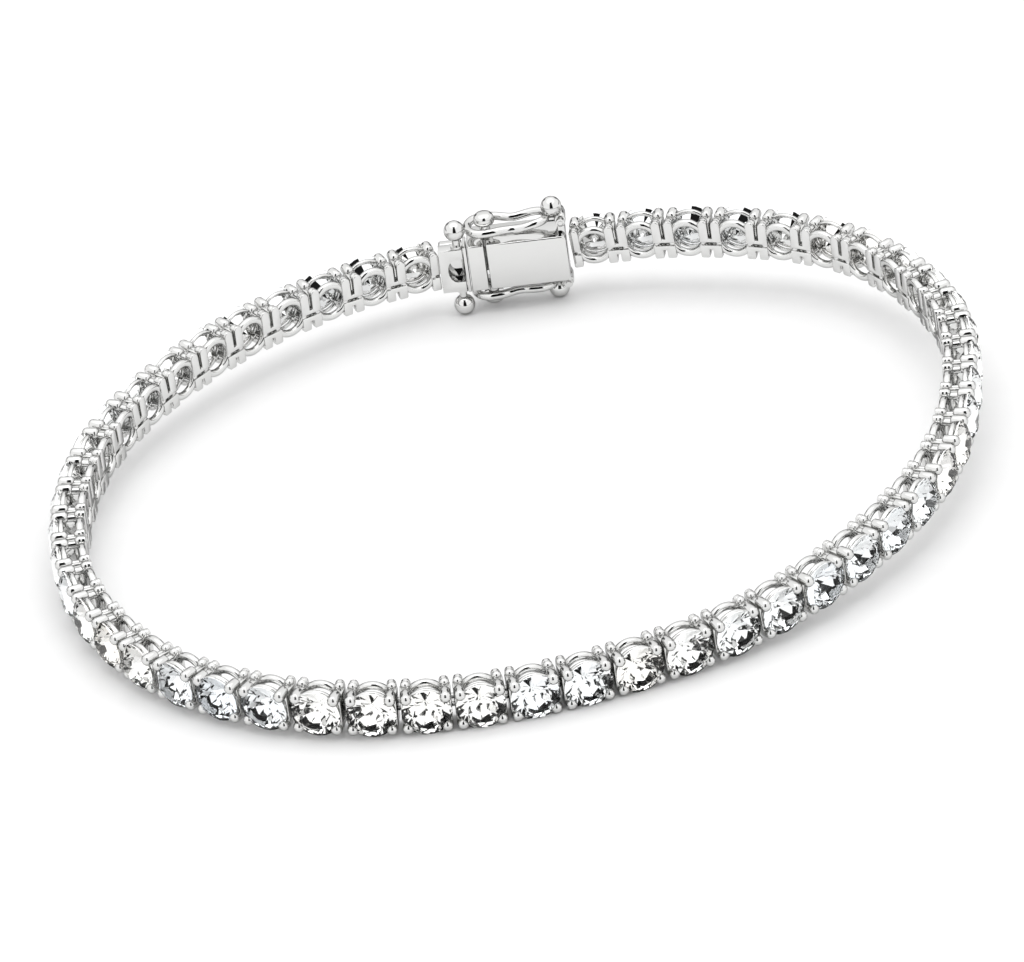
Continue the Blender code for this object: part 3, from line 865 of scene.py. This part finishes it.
class BRACELET_OT_latches(bpy.types.Operator):
    """Build the two figure-8 safety latches, each with its barrel and finger ball"""

    bl_idname = "bracelet.latches"
    bl_label = "Safety latches"

    def execute(self, context):
        for which, latch in LATCHES.items():
            side = latch["side"]
            z = side * (BODY_HALF + latch["hinge"])
            shape = bmesh.new()
            add_wire(shape, wire_path(latch), WIRE_RADIUS)
            add_turned(shape, BARREL_PROFILE, 24, (0, 1, 0), (HINGE_X, 0, z))
            add_rounded_box(shape, (2.95, -0.36, z - 0.20), (HINGE_X - 0.27, 0.36, z + 0.20), 0.08, 2)
            ball_z = side * (BODY_HALF + latch["ball"])
            add_rod(shape, (latch["finger"], 0, z), (latch["finger"], 0, ball_z), BALL_STEM_RADIUS, 16)
            add_ball(shape, (latch["finger"], 0, ball_z), BALL_RADIUS, 40, 24)
            finished(shape, f"figure8_{which}", f"latch_{which}", [f"latch_{which}"], 60.0)
        return {"FINISHED"}


# Stage


def studio_world(settings):
    """A light tent from inside: pale walls, a bright ceiling, a dark slit at the camera and dark cards."""
    world = bpy.data.worlds.new("Light tent")
    world.use_nodes = True
    tree = world.node_tree
    tree.nodes.clear()
    way = add_node(tree, "ShaderNodeTexCoord").outputs["Generated"]
    parts = add_node(tree, "ShaderNodeSeparateXYZ", inputs={"Vector": way}).outputs

    def maths(operation, *values):
        node = add_node(tree, "ShaderNodeMath", settings={"operation": operation})
        for index, value in enumerate(values):
            if isinstance(value, bpy.types.NodeSocket):
                tree.links.new(value, node.inputs[index])
            else:
                node.inputs[index].default_value = value
        return node.outputs["Value"]

    def step(value, start, end):
        """0 before start and 1 past end."""
        node = add_node(
            tree,
            "ShaderNodeMapRange",
            settings={"interpolation_type": "SMOOTHSTEP"},
            inputs={"Value": value, "From Min": start, "From Max": end},
        )
        return node.outputs["Result"]

    rise = maths("ARCSINE", parts["Z"])
    forward = maths("MULTIPLY", parts["Y"], -1.0)
    azimuth = maths("ABSOLUTE", maths("ARCTAN2", parts["X"], forward))

    def band(value, low, high, blur):
        """1 between two angles in degrees, 0 outside."""
        a, b, c = (math.radians(v) for v in (low, high, blur))
        return maths("MULTIPLY", step(value, a - c, a + c), maths("SUBTRACT", 1.0, step(value, b - c, b + c)))

    ceiling = band(rise, 50, 100, 1.0)
    slit = maths("MULTIPLY", band(azimuth, -90, settings.slit_width, 1.0), band(rise, -20, 66, 1.5))
    bar = maths("MULTIPLY", band(azimuth, -90, 32, 1.0), band(rise, 64, 71, 1.0))
    behind = maths("MULTIPLY", band(azimuth, 95, 190, 8.0), band(rise, -6, 10, 2.0))
    cards = maths("MULTIPLY", band(azimuth, 140, 158, 3.0), band(rise, 2, 26, 2.0))
    lit = maths("ADD", settings.tent, maths("MULTIPLY", ceiling, settings.ceiling - settings.tent))
    dark = maths("MAXIMUM", maths("MULTIPLY", slit, 0.99), maths("MULTIPLY", cards, 0.92))
    dark = maths("MAXIMUM", dark, maths("MULTIPLY", bar, 0.97))
    dark = maths("MAXIMUM", dark, maths("MULTIPLY", behind, 0.75))
    strength = maths("MULTIPLY", lit, maths("SUBTRACT", 1.0, dark))
    shader = add_node(tree, "ShaderNodeBackground", inputs={"Color": (1, 1, 1, 1), "Strength": strength})
    add_node(tree, "ShaderNodeOutputWorld", inputs={"Surface": shader.outputs["Background"]})
    return world


def paper_material():
    """Uncoated white background paper: matt, with a faint mottle of about 2.5 mm."""
    material, tree = new_material("Matt white background paper")
    place = add_node(tree, "ShaderNodeTexCoord").outputs["Object"]
    grain = add_node(tree, "ShaderNodeTexNoise", inputs={"Vector": place, "Scale": 400.0, "Detail": 2.0})
    tone = add_node(
        tree,
        "ShaderNodeMix",
        settings={"data_type": "RGBA"},
        inputs={"Factor": grain.outputs["Fac"], "A": (*linear("#F4F4F4"), 1), "B": (*linear("#F7F7F7"), 1)},
    )
    shader = add_node(
        tree,
        "ShaderNodeBsdfPrincipled",
        inputs={"Base Color": tone.outputs["Result"], "Roughness": 0.9, "Specular IOR Level": 0.1},
    )
    add_node(tree, "ShaderNodeOutputMaterial", inputs={"Surface": shader.outputs["BSDF"]})
    return material


def camera_matrix():
    """The camera's place, set up in the loop's own frame and then taken to the world."""
    above = math.radians(CAMERA_ABOVE_DEG)
    roll = math.radians(CAMERA_ROLL_DEG)
    ahead = Vector((0, math.cos(above), -math.sin(above)))
    right = Vector((1, 0, 0))
    up = Vector((0, math.sin(above), math.cos(above)))
    x = right * math.cos(roll) + up * math.sin(roll)
    y = up * math.cos(roll) - right * math.sin(roll)
    turn = Matrix((x, y, -ahead)).transposed().to_4x4()
    place = TO_FLOOR @ Matrix.Translation(Vector(AIM) - ahead * CAMERA_DISTANCE) @ turn
    place.translation = place.translation * MM
    return place


class BRACELET_OT_stage(bpy.types.Operator):
    """Build the floor, the light tent, its softboxes and the camera"""

    bl_idname = "bracelet.stage"
    bl_label = "Stage"

    def execute(self, context):
        scene = context.scene
        settings = scene.bracelet_stage
        shape = bmesh.new()
        bmesh.ops.create_grid(shape, x_segments=1, y_segments=1, size=3.0)
        mesh = bpy.data.meshes.new("Floor")
        shape.to_mesh(mesh)
        shape.free()
        mesh.materials.append(paper_material())
        floor = bpy.data.objects.new("floor", mesh)
        scene.collection.objects.link(floor)
        light = bpy.data.lights.new("Overhead softbox", "AREA")
        light.shape = "DISK"
        light.size = 0.7
        light.energy = 1.2
        softbox = bpy.data.objects.new("overhead_softbox", light)
        softbox.location = (0.0, 0.05, 0.9)
        scene.collection.objects.link(softbox)
        scene.world = studio_world(settings)
        data = bpy.data.cameras.new("Camera")
        data.lens = CAMERA_LENS
        data.sensor_width = 36.0
        data.clip_start = 0.01
        data.clip_end = 20.0
        camera = bpy.data.objects.new("Camera", data)
        camera.matrix_world = camera_matrix()
        scene.collection.objects.link(camera)
        scene.camera = camera
        # Light crosses a cut stone many times before it comes out.
        scene.cycles.max_bounces = 24
        scene.cycles.glossy_bounces = 14
        scene.cycles.transmission_bounces = 14
        scene.view_settings.view_transform = "Standard"
        scene.view_settings.look = "None"
        return {"FINISHED"}


class BRACELET_PT_panel(bpy.types.Panel):
    """Lists the bracelet's pieces in the order in which they are built"""

    bl_idname = "BRACELET_PT_panel"
    bl_label = "Tennis Bracelet"
    bl_space_type = "VIEW_3D"
    bl_region_type = "UI"
    bl_category = "Bracelet"

    def draw(self, context):
        for operator in PIECES:
            self.layout.operator(operator.bl_idname)
        for name in SETTINGS:
            settings = getattr(context.scene, name)
            box = self.layout.box()
            for prop in settings.bl_rna.properties:
                if prop.identifier not in {"rna_type", "name"}:
                    box.prop(settings, prop.identifier)


PIECES = [
    BRACELET_OT_stones,
    BRACELET_OT_settings,
    BRACELET_OT_clasp_end,
    BRACELET_OT_clasp_box,
    BRACELET_OT_latches,
    BRACELET_OT_stage,
]
SETTINGS = {
    "bracelet_stone": BraceletStoneSettings,
    "bracelet_setting": BraceletSettingSettings,
    "bracelet_metal": BraceletMetalSettings,
    "bracelet_stage": BraceletStageSettings,
}


def register():
    for group in SETTINGS.values():
        bpy.utils.register_class(group)
    for name, group in SETTINGS.items():
        setattr(bpy.types.Scene, name, PointerProperty(type=group))
    for operator in PIECES:
        bpy.utils.register_class(operator)
    bpy.utils.register_class(BRACELET_PT_panel)


def unregister():
    bpy.utils.unregister_class(BRACELET_PT_panel)
    for operator in reversed(PIECES):
        bpy.utils.unregister_class(operator)
    for name, group in SETTINGS.items():
        delattr(bpy.types.Scene, name)
        bpy.utils.unregister_class(group)


def main():
    register()
    bpy.ops.bracelet.stones()
    bpy.ops.bracelet.settings()
    bpy.ops.bracelet.clasp_end()
    bpy.ops.bracelet.clasp_box()
    bpy.ops.bracelet.latches()
    bpy.ops.bracelet.stage()


if __name__ == "__main__":
    main()
